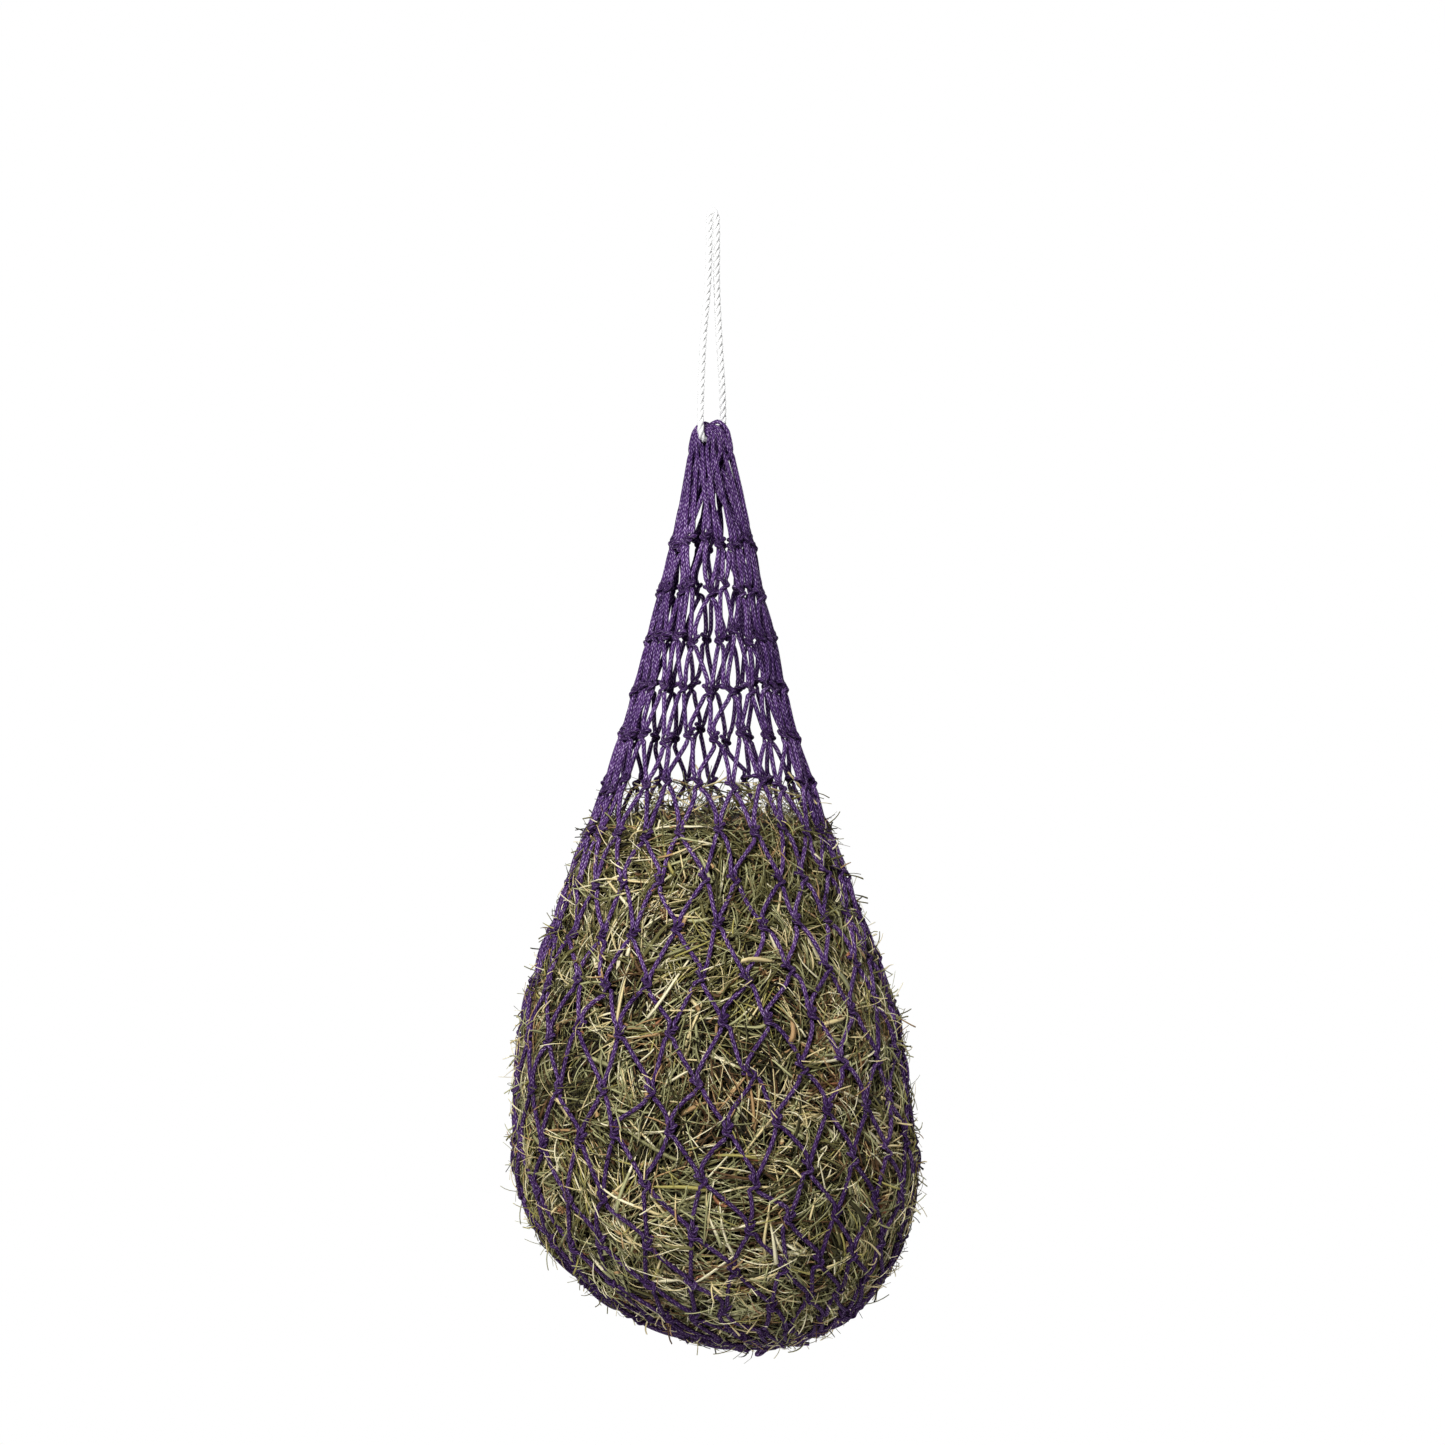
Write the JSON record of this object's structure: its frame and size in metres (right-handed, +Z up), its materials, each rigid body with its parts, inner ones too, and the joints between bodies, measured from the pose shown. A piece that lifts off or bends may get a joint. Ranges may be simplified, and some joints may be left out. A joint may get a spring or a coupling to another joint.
{
  "type": "hay net",
  "caption": "Filled hay net: a tapering bag of knotted diamond mesh packed with hay, drawn closed at the top by a rope loop that hangs it up.",
  "frame": {"origin": "the hang point, at the inside top of the drawcord's loop", "axes": "+Z up along the hanging bag, +X to the side towards which its foot leans, -Y towards the front"},
  "size_m": [0.3634, 0.3635, 1.0328],
  "materials": {
    "white_rope": "twisted three-strand white rope, slightly shiny fibres",
    "purple_cord": "braided purple cord, knotted",
    "hay": "dry grey-green and straw-coloured meadow hay"
  },
  "bodies": {
    "rope": {"drawcord": "white_rope"},
    "bag": {"top_loops": "purple_cord", "net_course_01": "purple_cord", "net_course_02": "purple_cord", "net_course_03": "purple_cord", "net_course_04": "purple_cord", "net_course_05": "purple_cord", "net_course_06": "purple_cord", "net_course_07": "purple_cord", "net_course_08": "purple_cord", "net_course_09": "purple_cord", "net_course_10": "purple_cord", "net_course_11": "purple_cord", "net_course_12": "purple_cord", "net_course_13": "purple_cord", "net_course_14": "purple_cord", "net_course_15": "purple_cord", "net_course_16": "purple_cord", "net_course_17": "purple_cord", "net_course_18": "purple_cord", "foot_loops": "purple_cord", "foot_cord": "purple_cord", "hay_fill": "hay"}
  },
  "joints": [
    {"name": "bag_swing", "type": "hinge", "parent": "rope", "child": "bag", "pos_m": [-0.001, 0, -0.203], "axis": [0.3746, 0.9272, 0], "range_deg": [-35, 35]}
  ]
}
